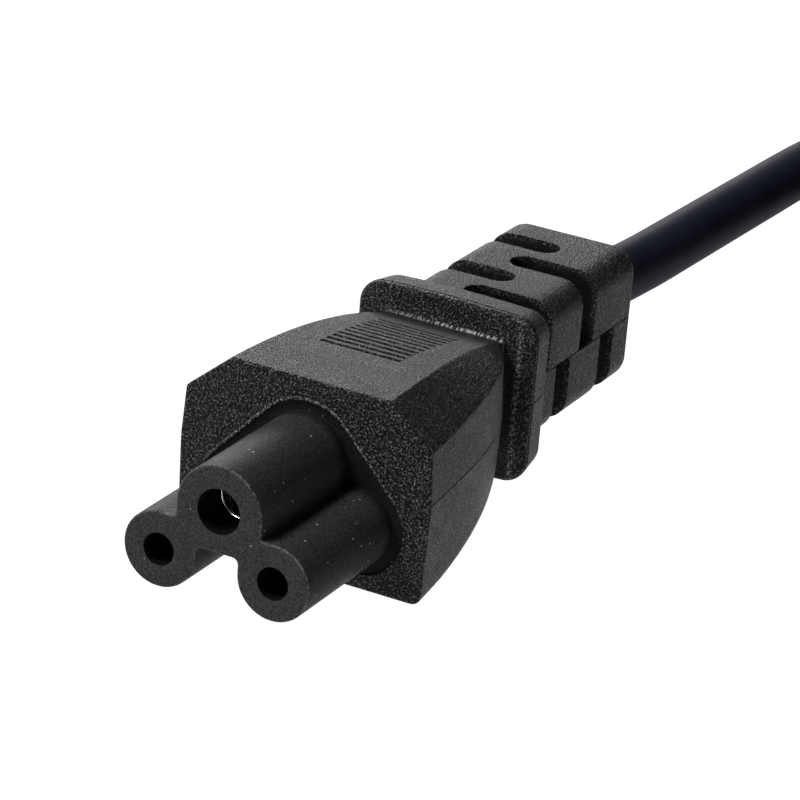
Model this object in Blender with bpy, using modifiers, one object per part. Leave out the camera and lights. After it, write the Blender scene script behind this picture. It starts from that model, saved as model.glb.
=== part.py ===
"""Cloverleaf power cord: a three-socket appliance connector with a slotted strain
relief, on a thin round cord that is put away in a tied coil and ends in a moulded plug.

Metres, +Z up. The origin is on the floor under the middle of the connector. The sockets
open towards -Y and the cord leaves towards +Y.
"""

import math

import bmesh
import bpy
from mathutils import Matrix, Vector

MM = 0.001
GAP = 0.3 * MM

# Sockets and nose, seen from the front: live and neutral side by side, earth above them
SOCKET_SPACING = 10.0 * MM
EARTH_RISE = 4.53 * MM
POWER_SOCKET_RADIUS = 1.3 * MM
EARTH_SOCKET_RADIUS = 1.81 * MM
SOCKET_LIP = 2.0 * MM
SOCKET_DEPTH = 13.5 * MM
POWER_LOBE_RADIUS = 3.13 * MM
EARTH_LOBE_RADIUS = 3.72 * MM
NOTCH_TOP = 1.1 * MM
NOTCH_CORNER = 0.5 * MM
NOSE_LENGTH = 13.1 * MM
NOSE_EDGE = 0.15 * MM
COLLAR_WIDTH = 0.92 * MM
COLLAR_RECESS = 0.15 * MM
COLLAR_DEPTH = 4.5 * MM

# Spring sleeves inside the sockets
SLEEVE_WALL = 0.3 * MM
POWER_SLEEVE_RADIUS = 1.5 * MM
EARTH_SLEEVE_RADIUS = 2.05 * MM
SLEEVE_LENGTH = 10.5 * MM

# Moulded body: a house-shaped front that narrows to a neck at the flange
BODY_LENGTH = 23.1 * MM
SOCKET_HEIGHT = 5.3 * MM
PARTING_RISE = 3.3 * MM
FACE_HALF_WIDTH = 11.25 * MM
FACE_TOP_HALF = 7.06 * MM
FACE_TOP_RISE = 11.02 * MM
FACE_CHAMFER_DROP = 3.35 * MM
FACE_CORNER = 1.0 * MM
SIDE_DRAFT = 0.06
NECK_HALF_WIDTH = 5.3 * MM
NECK_STRAIGHT_SHARE = 0.40
NECK_POWER = 4.3
NECK_TOP_HALF = 5.2 * MM
NECK_TOP_RISE = 8.1 * MM
NECK_BOTTOM_RISE = -1.6 * MM
NECK_CHAMFER_DROP = 0.35 * MM
NECK_CORNER = 2.4 * MM
REST_LENGTH = 4.0 * MM
BODY_STATIONS = 16

# Flange at the foot of the strain relief
FLANGE_THICKNESS = 3.7 * MM
FLANGE_HALF_WIDTH = 8.25 * MM
FLANGE_HALF_HEIGHT = 7.3 * MM
FLANGE_DROP = 0.1 * MM
FLANGE_ARCH = 0.15 * MM
FLANGE_CORNER = 2.1 * MM
FLANGE_TAPER = 0.15 * MM
FLANGE_FRONT_EDGE = 0.6 * MM
FLANGE_BACK_EDGE = 0.3 * MM

# Strain relief: a blunt square sleeve with slots in alternate quarters
RELIEF_LENGTH = 20.2 * MM
RELIEF_HALF_WIDTH = 6.25 * MM
RELIEF_HALF_HEIGHT = 6.1 * MM
RELIEF_TAPER = 0.05 * MM
RELIEF_CORNER = 2.2 * MM
RELIEF_EDGE = 0.5 * MM
RELIEF_CORE_RADIUS = 3.9 * MM
SLOT_WIDTH = 2.75 * MM
SLOT_PITCH = 4.3 * MM
SLOT_FIRST = 2.4 * MM
SLOT_SHIFT = -0.25 * MM
SLOT_PAST_CENTRE = 1.2 * MM
SLOT_COUNT = 4

# Cord
CORD_DIAMETER = 5.2 * MM
COIL_TURN_OUT = 34.0 * MM
COIL_TURN_IN = 20.2 * MM
COIL_LAYERS = 2
COIL_CENTRE_Y = 105.0 * MM
TAIL_END_Y = 51.3 * MM
TAIL_CLEAR_SHARE = 0.5
TAIL_STEPS = 8

# Tie round the coil
TIE_WIDTH = 8.0 * MM
TIE_THICKNESS = 1.2 * MM
TIE_CLEARANCE = 0.8 * MM

# Plug at the far end: two flat blades and a round earth pin
PLUG_X = 57.6 * MM
PLUG_LENGTH = 38.0 * MM
PLUG_HALF_WIDTH = 13.0 * MM
PLUG_HALF_HEIGHT = 12.5 * MM
PLUG_GRIP_HALF = 9.5 * MM
PLUG_CORNER = 4.0 * MM
PLUG_RELIEF_LENGTH = 24.0 * MM
PLUG_RELIEF_START = 5.6 * MM
PLUG_RELIEF_END = 4.1 * MM
BLADE_SPACING = 12.7 * MM
BLADE_WIDTH = 6.35 * MM
BLADE_THICKNESS = 1.52 * MM
BLADE_LENGTH = 15.9 * MM
BLADE_ROOT = 4.0 * MM
BLADE_RISE = 3.6 * MM
EARTH_PIN_DROP = 11.9 * MM
EARTH_PIN_RADIUS = 2.4 * MM
EARTH_PIN_LENGTH = 18.5 * MM

# Places worked out from the sizes
CONNECTOR_LENGTH = NOSE_LENGTH + BODY_LENGTH + FLANGE_THICKNESS + RELIEF_LENGTH
NOSE_Y = -CONNECTOR_LENGTH / 2
FACE_Y = NOSE_Y + NOSE_LENGTH
FLANGE_Y = FACE_Y + BODY_LENGTH
RELIEF_Y = FLANGE_Y + FLANGE_THICKNESS
END_Y = RELIEF_Y + RELIEF_LENGTH
PARTING_Z = SOCKET_HEIGHT + PARTING_RISE
CORD_RADIUS = CORD_DIAMETER / 2
COIL_OUTER = COIL_TURN_OUT + CORD_RADIUS
COIL_INNER = COIL_TURN_IN - CORD_RADIUS
COIL_MIDDLE = (COIL_OUTER + COIL_INNER) / 2
COIL_HEIGHT = CORD_DIAMETER * COIL_LAYERS
COIL_CENTRE = Vector((COIL_TURN_OUT, COIL_CENTRE_Y, 0))
TOP_LAYER_Z = COIL_HEIGHT - CORD_RADIUS
TAIL_X = COIL_CENTRE.x + COIL_TURN_OUT
PLUG_FACE_Y = TAIL_END_Y - GAP - PLUG_RELIEF_LENGTH - PLUG_LENGTH

# Route of the free cord, from the strain relief down to the floor beside the coil
LEAD_ROUTE = [
    (0.0, 30.35, 8.45), (0.0, 36.0, 7.88), (0.0, 45.5, 7.17), (0.0, 54.0, 6.83),
    (0.0, 63.0, 6.51), (0.0, 73.0, 6.15), (0.0, 80.0, 5.9), (0.0, 85.8, 5.55),
]

PARTS = "cloverleaf_power_cord"
CUTTERS = "cutters"


def clear_scene():
    for obj in list(bpy.data.objects):
        bpy.data.objects.remove(obj, do_unlink=True)


def collection(name):
    made = bpy.data.collections.get(name) or bpy.data.collections.new(name)
    if name not in bpy.context.scene.collection.children:
        bpy.context.scene.collection.children.link(made)
    return made


def material(name, colour, roughness, metallic=0.0):
    made = bpy.data.materials.new(name)
    made.use_nodes = True
    shader = made.node_tree.nodes["Principled BSDF"]
    shader.inputs["Base Color"].default_value = (*colour, 1)
    shader.inputs["Roughness"].default_value = roughness
    shader.inputs["Metallic"].default_value = metallic
    return made


def place(obj, name, where):
    obj.name = name
    for old in list(obj.users_collection):
        old.objects.unlink(obj)
    collection(where).objects.link(obj)
    if where == CUTTERS:
        obj.hide_render = True
        obj.display_type = "WIRE"
    return obj


def finish(obj, look):
    obj.data.materials.clear()
    obj.data.materials.append(look)
    obj.data.shade_smooth()
    obj.data.set_sharp_from_angle(angle=math.radians(30))


def from_bmesh(name, bm, where=PARTS):
    bmesh.ops.recalc_face_normals(bm, faces=bm.faces)
    mesh = bpy.data.meshes.new(name)
    bm.to_mesh(mesh)
    bm.free()
    return place(bpy.data.objects.new(name, mesh), name, where)


def loft(name, sections, where=PARTS):
    """A closed skin through sections, each a depth y and as many (x, z) points as the others."""
    bm = bmesh.new()
    rings = [[bm.verts.new((x, y, z)) for x, z in outline] for y, outline in sections]
    for near, far in zip(rings, rings[1:]):
        for i in range(len(near)):
            j = (i + 1) % len(near)
            bm.faces.new((near[i], near[j], far[j], far[i]))
    bm.faces.new(rings[0])
    bm.faces.new(rings[-1])
    return from_bmesh(name, bm, where)


def mesh_of_curve(obj, name, where):
    """Turns a curve into a mesh object whose caps are welded to its sides."""
    bpy.context.view_layer.update()
    graph = bpy.context.evaluated_depsgraph_get()
    mesh = bpy.data.meshes.new_from_object(obj.evaluated_get(graph))
    bm = bmesh.new()
    bm.from_mesh(mesh)
    bmesh.ops.remove_doubles(bm, verts=bm.verts, dist=0.001 * MM)
    bm.to_mesh(mesh)
    bm.free()
    made = bpy.data.objects.new(name, mesh)
    made.matrix_world = obj.matrix_world.copy()
    bpy.data.objects.remove(obj, do_unlink=True)
    return place(made, name, where)


def prism(name, outline, y_from, y_to, edge=0.0, where=PARTS):
    """A flat outline of (x, z) points, thick from y_from to y_to, with its rims rounded by edge."""
    curve = bpy.data.curves.new(name, "CURVE")
    curve.dimensions = "2D"
    curve.fill_mode = "BOTH"
    curve.extrude = (y_to - y_from) / 2 - edge
    curve.bevel_depth = edge
    curve.bevel_resolution = 1
    curve.offset = -edge
    spline = curve.splines.new("POLY")
    spline.points.add(len(outline) - 1)
    for point, (x, z) in zip(spline.points, outline):
        point.co = (x, z, 0, 1)
    spline.use_cyclic_u = True
    obj = bpy.data.objects.new(name, curve)
    obj.rotation_euler = (math.pi / 2, 0, 0)
    obj.location = (0, (y_from + y_to) / 2, 0)
    bpy.context.scene.collection.objects.link(obj)
    return mesh_of_curve(obj, name, where)


def rod(name, centre, radius, y_from, y_to, where=CUTTERS, sides=32):
    """A cylinder along Y, with its axis at centre (x, z)."""
    bpy.ops.mesh.primitive_cylinder_add(
        vertices=sides, radius=radius, depth=y_to - y_from,
        location=(centre[0], (y_from + y_to) / 2, centre[1]), rotation=(math.pi / 2, 0, 0))
    return place(bpy.context.object, name, where)


def post(name, centre, radius, z_from, z_to, sides=24):
    """An upright cylinder cutter at centre (x, y)."""
    bpy.ops.mesh.primitive_cylinder_add(
        vertices=sides, radius=radius, depth=z_to - z_from,
        location=(centre[0], centre[1], (z_from + z_to) / 2))
    return place(bpy.context.object, name, CUTTERS)


def box(name, low, high, where=CUTTERS):
    low, high = Vector(low), Vector(high)
    bpy.ops.mesh.primitive_cube_add(size=1, location=(low + high) / 2)
    made = place(bpy.context.object, name, where)
    made.data.transform(Matrix.Diagonal((*(high - low), 1)))
    return made


def boolean(obj, other, operation="DIFFERENCE"):
    modifier = obj.modifiers.new(other.name, "BOOLEAN")
    modifier.operation = operation
    modifier.object = other
    modifier.solver = "EXACT"


def arc(centre, radius, start, end, steps):
    """Points (x, z) on a circle, from one angle to another in degrees."""
    angles = (math.radians(start + (end - start) * i / steps) for i in range(steps + 1))
    return [(centre[0] + radius * math.cos(a), centre[1] + radius * math.sin(a)) for a in angles]


def cloverleaf():
    """Outline of the nose: two lower lobes, one upper lobe and a notch between the lower ones."""
    half = SOCKET_SPACING / 2
    base = SOCKET_HEIGHT
    lobe, earth, corner = POWER_LOBE_RADIUS, EARTH_LOBE_RADIUS, NOTCH_CORNER
    notch_x, notch_z = half - lobe - corner, base + NOTCH_TOP - corner
    right = arc((half, base), lobe, -180, 90, 18)
    upper = arc((0, base + EARTH_RISE), earth, 0, 180, 14)
    left = arc((-half, base), lobe, 90, 360, 18)
    notch = arc((-notch_x, notch_z), corner, 180, 90, 3) + arc((notch_x, notch_z), corner, 90, 0, 3)
    return right + [(earth, base + lobe)] + upper + [(-earth, base + lobe)] + left + notch


def collar_outline(grow):
    """Outline of the smooth base round the nose: a tight band round all three lobes, larger by grow."""
    half = SOCKET_SPACING / 2
    lobe, earth = POWER_LOBE_RADIUS + grow, EARTH_LOBE_RADIUS + grow
    between = math.hypot(half, EARTH_RISE)
    tangent = math.degrees(math.acos((earth - lobe) / between) - math.atan2(EARTH_RISE, half))
    right = arc((half, SOCKET_HEIGHT), lobe, -90, tangent, 12)
    upper = arc((0, SOCKET_HEIGHT + EARTH_RISE), earth, tangent, 180 - tangent, 10)
    left = arc((-half, SOCKET_HEIGHT), lobe, 180 - tangent, 270, 12)
    return right + upper + left


def rounded_rectangle(half_width, half_height, corner, centre_z, steps=4, arch=0.0):
    """Outline centred on x = 0; arch lifts the middle of its top and bottom edges."""
    x, z = half_width - corner, half_height - corner
    points = arc((x, z), corner, 0, 90, steps)
    points += [(x * k, half_height + arch * (1 - k * k)) for k in (0.5, 0.0, -0.5)]
    points += arc((-x, z), corner, 90, 180, steps)
    points += arc((-x, -z), corner, 180, 270, steps)
    points += [(x * k, -half_height - arch * (1 - k * k)) for k in (-0.5, 0.0, 0.5)]
    points += arc((x, -z), corner, 270, 360, steps)
    return [(px, pz + centre_z) for px, pz in points]


def mix(a, b, t):
    return a + (b - a) * t


def body_outline(t):
    """Cross-section of the body at share t of the way from its front face to the neck."""
    base = SOCKET_HEIGHT
    taper = NECK_STRAIGHT_SHARE * t + (1 - NECK_STRAIGHT_SHARE) * t ** NECK_POWER
    side = mix(FACE_HALF_WIDTH, NECK_HALF_WIDTH, taper)
    top_half = mix(FACE_TOP_HALF, NECK_TOP_HALF, t ** 1.4)
    top = base + mix(FACE_TOP_RISE, NECK_TOP_RISE, t ** 2.5)
    drop = mix(NECK_CHAMFER_DROP, FACE_CHAMFER_DROP, (1 - t * t) ** 1.5)
    past_rest = max(0.0, (t * BODY_LENGTH - REST_LENGTH) / (BODY_LENGTH - REST_LENGTH))
    bottom = mix(0.0, base + NECK_BOTTOM_RISE, past_rest ** 1.5)
    corner = mix(FACE_CORNER, NECK_CORNER, t)
    edge = top - drop
    edge_x = side - SIDE_DRAFT * abs(edge - PARTING_Z)
    foot_x = side - SIDE_DRAFT * (PARTING_Z - bottom) * 0.5
    half = [(0.0, top), (top_half * 0.5, top), (top_half, top)]
    half += [(mix(top_half, edge_x, 0.5), top - drop * 0.5), (edge_x, edge), (side, PARTING_Z)]
    half += arc((foot_x - corner, bottom + corner), corner, 0, -90, 5)
    half += [(foot_x * 0.4, bottom), (0.0, bottom)]
    return half + [(-x, z) for x, z in reversed(half[1:-1])]


def body_block():
    """The body from its front face to just inside the flange."""
    sections = [(FACE_Y + BODY_LENGTH * i / BODY_STATIONS, body_outline(i / BODY_STATIONS))
                for i in range(BODY_STATIONS + 1)]
    sections.append((FLANGE_Y + FLANGE_THICKNESS / 2, body_outline(1.0)))
    return loft("connector_body", sections)


def rounded_end(y, edge, inward, inset=0.0):
    """Depths and insets that round the rim of an end at y; inward is 1 or -1, the way into the block."""
    angles = [math.radians(angle) for angle in (0, 45, 90)]
    return [(y + inward * edge * (1 - math.cos(a)), inset + edge * (1 - math.sin(a))) for a in angles]


def flange_block():
    def outline(inset):
        return rounded_rectangle(FLANGE_HALF_WIDTH - inset, FLANGE_HALF_HEIGHT - inset,
                                 FLANGE_CORNER - inset * 0.5, PARTING_Z - FLANGE_DROP, arch=FLANGE_ARCH)
    rims = rounded_end(FLANGE_Y, FLANGE_FRONT_EDGE, 1)
    rims += reversed(rounded_end(RELIEF_Y, FLANGE_BACK_EDGE, -1, FLANGE_TAPER))
    return loft("flange_join", [(y, outline(inset)) for y, inset in rims], CUTTERS)


def relief_block():
    """The sleeve of the strain relief before its slots are cut."""
    def outline(inset):
        return rounded_rectangle(RELIEF_HALF_WIDTH - inset, RELIEF_HALF_HEIGHT - inset,
                                 RELIEF_CORNER - inset * 0.5, PARTING_Z)
    rims = [(RELIEF_Y - FLANGE_THICKNESS / 2, 0.0)]
    rims += reversed(rounded_end(END_Y, RELIEF_EDGE, -1, RELIEF_TAPER))
    return loft("relief_join", [(y, outline(inset)) for y, inset in rims], CUTTERS)


def cut_slot(sleeve, index):
    """Two slots at one station, in opposite quarters; the pair swaps sides at each station."""
    y = RELIEF_Y + SLOT_FIRST + SLOT_PITCH * index
    reach = 2 * RELIEF_HALF_WIDTH
    side = 1 if index % 2 == 0 else -1
    for up, across in ((1, side), (-1, -side)):
        inner_x = SLOT_SHIFT - across * (SLOT_PAST_CENTRE - SLOT_WIDTH / 2)
        x = sorted((inner_x, across * reach))
        z = sorted((PARTING_Z, PARTING_Z + up * reach))
        name = f"slot_{index}_{'upper' if up > 0 else 'lower'}"
        boolean(sleeve, box(name, (x[0], y - SLOT_WIDTH / 2, z[0]), (x[1], y + SLOT_WIDTH / 2, z[1])))
        boolean(sleeve, post(name + "_end", (inner_x, y), SLOT_WIDTH / 2 * 0.999, *z))


def connector_body(look):
    """One moulding: body, flange and strain relief, with a pocket in front for the nose."""
    sleeve = relief_block()
    for index in range(SLOT_COUNT):
        cut_slot(sleeve, index)
    core = rod("core_join", (0, PARTING_Z), RELIEF_CORE_RADIUS, RELIEF_Y - FLANGE_THICKNESS / 2,
               END_Y - RELIEF_EDGE)
    boolean(sleeve, core, "UNION")
    body = body_block()
    pocket = prism("nose_pocket", collar_outline(COLLAR_WIDTH + GAP), FACE_Y - 2 * MM,
                   FACE_Y + COLLAR_DEPTH + GAP, where=CUTTERS)
    boolean(body, flange_block(), "UNION")
    boolean(body, sleeve, "UNION")
    boolean(body, pocket)
    finish(body, look)
    return body


def socket_centres():
    half = SOCKET_SPACING / 2
    return {
        "line": ((half, SOCKET_HEIGHT), POWER_SOCKET_RADIUS, POWER_SLEEVE_RADIUS),
        "neutral": ((-half, SOCKET_HEIGHT), POWER_SOCKET_RADIUS, POWER_SLEEVE_RADIUS),
        "earth": ((0, SOCKET_HEIGHT + EARTH_RISE), EARTH_SOCKET_RADIUS, EARTH_SLEEVE_RADIUS),
    }


def connector_nose(look):
    """The smooth insert: cloverleaf nose, collar in the body's pocket, and three stepped sockets."""
    nose = prism("connector_nose", cloverleaf(), NOSE_Y, FACE_Y + COLLAR_DEPTH / 2, NOSE_EDGE)
    collar = prism("collar_join", collar_outline(COLLAR_WIDTH), FACE_Y + COLLAR_RECESS,
                   FACE_Y + COLLAR_DEPTH, NOSE_EDGE, CUTTERS)
    boolean(nose, collar, "UNION")
    for name, (centre, radius, sleeve) in socket_centres().items():
        boolean(nose, rod(f"hole_{name}", centre, radius, NOSE_Y - MM, NOSE_Y + SOCKET_LIP + MM))
        boolean(nose, rod(f"chamber_{name}", centre, sleeve + GAP, NOSE_Y + SOCKET_LIP,
                          NOSE_Y + SOCKET_DEPTH))
    finish(nose, look)
    return nose


def contact_sleeves(look):
    start = NOSE_Y + SOCKET_LIP + GAP
    for name, (centre, _, radius) in socket_centres().items():
        sleeve = rod(f"contact_{name}", centre, radius, start, start + SLEEVE_LENGTH, PARTS, 24)
        boolean(sleeve, rod(f"sleeve_bore_{name}", centre, radius - SLEEVE_WALL, start - MM,
                            start + SLEEVE_LENGTH + MM, sides=24))
        finish(sleeve, look)


def smooth_route(points, spacing):
    """Evenly spaced points on a smooth curve through the route's own points."""
    fine = []
    for i in range(len(points) - 1):
        before = points[max(i - 1, 0)]
        a, b = points[i], points[i + 1]
        after = points[min(i + 2, len(points) - 1)]
        for k in range(12):
            t = k / 12
            fine.append(0.5 * ((2 * a) + (b - before) * t + (2 * before - 5 * a + 4 * b - after) * t * t
                               + (3 * a - before - 3 * b + after) * t ** 3))
    fine.append(points[-1])
    total = sum((q - p).length for p, q in zip(fine, fine[1:]))
    count = max(2, round(total / spacing))
    picked, walked, target = [fine[0]], 0.0, total / count
    for p, q in zip(fine, fine[1:]):
        step = (q - p).length
        while walked + step >= target - 1e-9 and len(picked) < count:
            picked.append(p.lerp(q, (target - walked) / step))
            target += total / count
        walked += step
    return picked + [fine[-1]]


def tube(name, points, look):
    curve = bpy.data.curves.new(name, "CURVE")
    curve.dimensions = "3D"
    curve.bevel_depth = CORD_RADIUS
    curve.bevel_resolution = 3
    curve.use_fill_caps = True
    spline = curve.splines.new("POLY")
    spline.points.add(len(points) - 1)
    for point, place_at in zip(spline.points, points):
        point.co = (*place_at, 1)
    obj = place(bpy.data.objects.new(name, curve), name, PARTS)
    obj.data.materials.append(look)
    return obj


def cord_lead(look):
    """The free cord from the strain relief to where it lies against the coil."""
    points = [Vector(point) * MM for point in LEAD_ROUTE]
    return tube("cord_lead", smooth_route(points, 2 * CORD_DIAMETER), look)


def cord_coil(look):
    """The outer shape of the coiled cord: a ring turned from a rounded section."""
    corner = CORD_RADIUS
    inner, outer = COIL_INNER + corner, COIL_OUTER - corner
    low, high = corner, COIL_HEIGHT - corner
    profile = arc((outer, high), corner, 90, 0, 4) + arc((outer, low), corner, 0, -90, 4)
    profile += arc((inner, low), corner, -90, -180, 4) + arc((inner, high), corner, 180, 90, 4)
    bm = bmesh.new()
    verts = [bm.verts.new((x, 0, z)) for x, z in profile]
    for i in range(len(verts)):
        bm.edges.new((verts[i], verts[(i + 1) % len(verts)]))
    mesh = bpy.data.meshes.new("cord_coil")
    bm.to_mesh(mesh)
    bm.free()
    coil = place(bpy.data.objects.new("cord_coil", mesh), "cord_coil", PARTS)
    coil.location = COIL_CENTRE
    turn = coil.modifiers.new("turn", "SCREW")
    turn.axis = "Z"
    turn.steps = turn.render_steps = 56
    turn.use_merge_vertices = True
    turn.merge_threshold = 0.01 * MM
    half = TIE_WIDTH / 2 + GAP
    notch = box("tie_notch", (COIL_CENTRE.x - half, COIL_CENTRE_Y + COIL_INNER / 2, -MM),
                (COIL_CENTRE.x + half, COIL_CENTRE_Y + 2 * COIL_OUTER, TIE_THICKNESS + GAP))
    boolean(coil, notch)
    coil.data.materials.append(look)
    return coil


def cord_tie(look):
    """A strap closed round all the turns at the back of the coil."""
    x, y = COIL_CENTRE.x, COIL_CENTRE_Y + COIL_MIDDLE
    reach = COIL_OUTER - COIL_MIDDLE + TIE_CLEARANCE
    low = (x - TIE_WIDTH / 2, y - reach - TIE_THICKNESS, 0)
    high = (x + TIE_WIDTH / 2, y + reach + TIE_THICKNESS, COIL_HEIGHT + TIE_CLEARANCE + TIE_THICKNESS)
    tie = box("cord_tie", low, high, PARTS)
    hole = box("tie_hole", (x - TIE_WIDTH, y - reach, TIE_THICKNESS),
               (x + TIE_WIDTH, y + reach, COIL_HEIGHT + TIE_CLEARANCE))
    boolean(tie, hole)
    finish(tie, look)
    return tie


def cord_tail(look):
    """The end of the cord, from where it is clear of the coil's ring to the plug's relief."""
    shares = [mix(TAIL_CLEAR_SHARE, 1.0, i / TAIL_STEPS) for i in range(TAIL_STEPS + 1)]
    return tube("cord_tail", [tail_point(share) for share in shares], look)


def tail_point(t):
    """A point on the bend from the coil's top layer to the plug's axis."""
    eased = t * t * (3 - 2 * t)
    return Vector((mix(TAIL_X, PLUG_X, eased), mix(COIL_CENTRE_Y, TAIL_END_Y, t),
                   mix(TOP_LAYER_Z, PLUG_HALF_HEIGHT, eased)))


def plug_outline(half_width, half_height, corner):
    points = rounded_rectangle(half_width, half_height, corner, PLUG_HALF_HEIGHT)
    return [(x + PLUG_X, z) for x, z in points]


def plug_body(look):
    """One moulding: a block with finger hollows that runs out into a tapered relief."""
    face = PLUG_FACE_Y
    edge = 1.2 * MM
    back = face + PLUG_LENGTH
    bodies = [
        (face, PLUG_HALF_WIDTH - edge, PLUG_HALF_HEIGHT - edge, PLUG_CORNER - edge),
        (face + edge, PLUG_HALF_WIDTH, PLUG_HALF_HEIGHT, PLUG_CORNER),
        (face + 0.22 * PLUG_LENGTH, PLUG_HALF_WIDTH, PLUG_HALF_HEIGHT, PLUG_CORNER),
        (face + 0.45 * PLUG_LENGTH, PLUG_GRIP_HALF, PLUG_GRIP_HALF + MM, PLUG_CORNER),
        (face + 0.70 * PLUG_LENGTH, PLUG_GRIP_HALF - MM, PLUG_GRIP_HALF, PLUG_CORNER),
        (back - 2 * edge, PLUG_GRIP_HALF - MM, PLUG_GRIP_HALF - MM, PLUG_CORNER),
        (back, PLUG_RELIEF_START, PLUG_RELIEF_START, PLUG_RELIEF_START * 0.8),
        (back + PLUG_RELIEF_LENGTH, PLUG_RELIEF_END, PLUG_RELIEF_END, PLUG_RELIEF_END * 0.9),
    ]
    plug = loft("plug_body", [(y, plug_outline(w, h, c)) for y, w, h, c in bodies])
    for name, low, high in blade_boxes():
        pocket_low = (low[0] - GAP, face - MM, low[2] - GAP)
        boolean(plug, box(f"{name}_pocket", pocket_low, (high[0] + GAP, high[1] + GAP, high[2] + GAP)))
    pin = earth_pin_centre()
    pocket = rod("pin_pocket", pin, EARTH_PIN_RADIUS + GAP, face - MM, face + BLADE_ROOT + GAP, sides=24)
    boolean(plug, pocket)
    finish(plug, look)
    return plug


def blade_boxes():
    z = PLUG_HALF_HEIGHT + BLADE_RISE
    for name, side in (("plug_blade_line", 1), ("plug_blade_neutral", -1)):
        centre = PLUG_X + side * BLADE_SPACING / 2
        yield (name, (centre - BLADE_THICKNESS / 2, PLUG_FACE_Y - BLADE_LENGTH, z - BLADE_WIDTH / 2),
               (centre + BLADE_THICKNESS / 2, PLUG_FACE_Y + BLADE_ROOT, z + BLADE_WIDTH / 2))


def earth_pin_centre():
    return (PLUG_X, PLUG_HALF_HEIGHT + BLADE_RISE - EARTH_PIN_DROP)


def plug_pins(look):
    for name, low, high in blade_boxes():
        blade = box(name, low, high, PARTS)
        bevel = blade.modifiers.new("edges", "BEVEL")
        bevel.width = 0.3 * MM
        bevel.segments = 2
        finish(blade, look)
    pin = rod("plug_pin_earth", earth_pin_centre(), EARTH_PIN_RADIUS, PLUG_FACE_Y - EARTH_PIN_LENGTH,
              PLUG_FACE_Y + BLADE_ROOT, PARTS, 24)
    bevel = pin.modifiers.new("edges", "BEVEL")
    bevel.width = 0.8 * MM
    bevel.segments = 3
    bevel.limit_method = "ANGLE"
    bevel.angle_limit = math.radians(60)
    finish(pin, look)


def main():
    clear_scene()
    moulding = material("black_moulding", (0.035, 0.035, 0.036), 0.55)
    insert = material("black_insert", (0.03, 0.03, 0.031), 0.42)
    jacket = material("cord_jacket", (0.012, 0.013, 0.02), 0.35)
    metal = material("contact_metal", (0.75, 0.72, 0.66), 0.3, 1.0)
    strap = material("tie_strap", (0.02, 0.02, 0.021), 0.8)
    plastic = material("plug_moulding", (0.03, 0.03, 0.031), 0.5)
    blades = material("plug_metal", (0.78, 0.74, 0.62), 0.28, 1.0)
    connector_nose(insert)
    connector_body(moulding)
    contact_sleeves(metal)
    cord_lead(jacket)
    cord_coil(jacket)
    cord_tail(jacket)
    cord_tie(strap)
    plug_body(plastic)
    plug_pins(blades)


main()
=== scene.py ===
"""Looks of the cloverleaf power cord: its detailed pieces, materials, floor, light and camera.

Shapes are made in millimetres and scaled to metres as they become meshes. The sockets open towards -Y, the
cord leaves towards +Y, and the origin is on the floor under the middle of the connector.
"""

import math
from collections import namedtuple

import bmesh
import bpy
import numpy as np
from mathutils import Matrix, Vector


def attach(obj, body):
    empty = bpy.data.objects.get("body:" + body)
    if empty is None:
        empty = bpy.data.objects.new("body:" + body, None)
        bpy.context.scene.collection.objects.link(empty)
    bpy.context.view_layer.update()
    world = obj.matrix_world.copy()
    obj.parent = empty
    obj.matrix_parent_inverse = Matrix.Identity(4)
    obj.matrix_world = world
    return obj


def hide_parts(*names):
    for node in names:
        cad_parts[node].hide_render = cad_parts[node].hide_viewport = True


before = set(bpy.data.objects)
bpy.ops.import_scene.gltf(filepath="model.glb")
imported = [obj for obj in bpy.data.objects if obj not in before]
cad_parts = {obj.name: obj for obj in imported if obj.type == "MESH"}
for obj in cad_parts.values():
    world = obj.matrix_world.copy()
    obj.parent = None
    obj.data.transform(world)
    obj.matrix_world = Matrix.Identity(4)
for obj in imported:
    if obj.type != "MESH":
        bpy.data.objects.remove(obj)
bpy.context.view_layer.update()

MM = 0.001

# Sizes shared with the CAD source, in millimetres: sockets and nose
SOCKET_SPACING = 10.0
SOCKET_HEIGHT = 5.3
EARTH_RISE = 4.53
POWER_SOCKET_RADIUS = 1.3
EARTH_SOCKET_RADIUS = 1.81
SOCKET_LIP = 2.0
SOCKET_DEPTH = 13.5
POWER_LOBE_RADIUS = 3.13
EARTH_LOBE_RADIUS = 3.72
NOTCH_TOP = 1.1
NOTCH_CORNER = 0.5
NOSE_LENGTH = 13.1
COLLAR_WIDTH = 0.92
COLLAR_RECESS = 0.15

# Sizes shared with the CAD source: body, flange and strain relief
BODY_LENGTH = 23.1
PARTING_Z = SOCKET_HEIGHT + 3.3
FACE_HALF_WIDTH = 11.25
FACE_TOP_HALF = 7.06
FACE_TOP_RISE = 11.02
FACE_CHAMFER_DROP = 3.35
FACE_CORNER = 1.0
SIDE_DRAFT = 0.06
NECK_HALF_WIDTH = 5.3
NECK_STRAIGHT_SHARE = 0.40
NECK_POWER = 4.3
NECK_TOP_HALF = 5.2
NECK_TOP_HALF_POWER = 1.4
NECK_TOP_RISE = 8.1
NECK_TOP_RISE_POWER = 2.5
NECK_BOTTOM_RISE = -1.6
NECK_BOTTOM_POWER = 1.5
NECK_CHAMFER_DROP = 0.35
NECK_CHAMFER_POWER = 1.5
NECK_CORNER = 2.4
REST_LENGTH = 4.0
FLANGE_THICKNESS = 3.7
FLANGE_HALF_WIDTH = 8.25
FLANGE_HALF_HEIGHT = 7.3
FLANGE_DROP = 0.1
FLANGE_ARCH = 0.15
FLANGE_CORNER = 2.1
FLANGE_TAPER = 0.15
RELIEF_LENGTH = 20.2
RELIEF_HALF_WIDTH = 6.25
RELIEF_HALF_HEIGHT = 6.1
RELIEF_TAPER = 0.05
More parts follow.
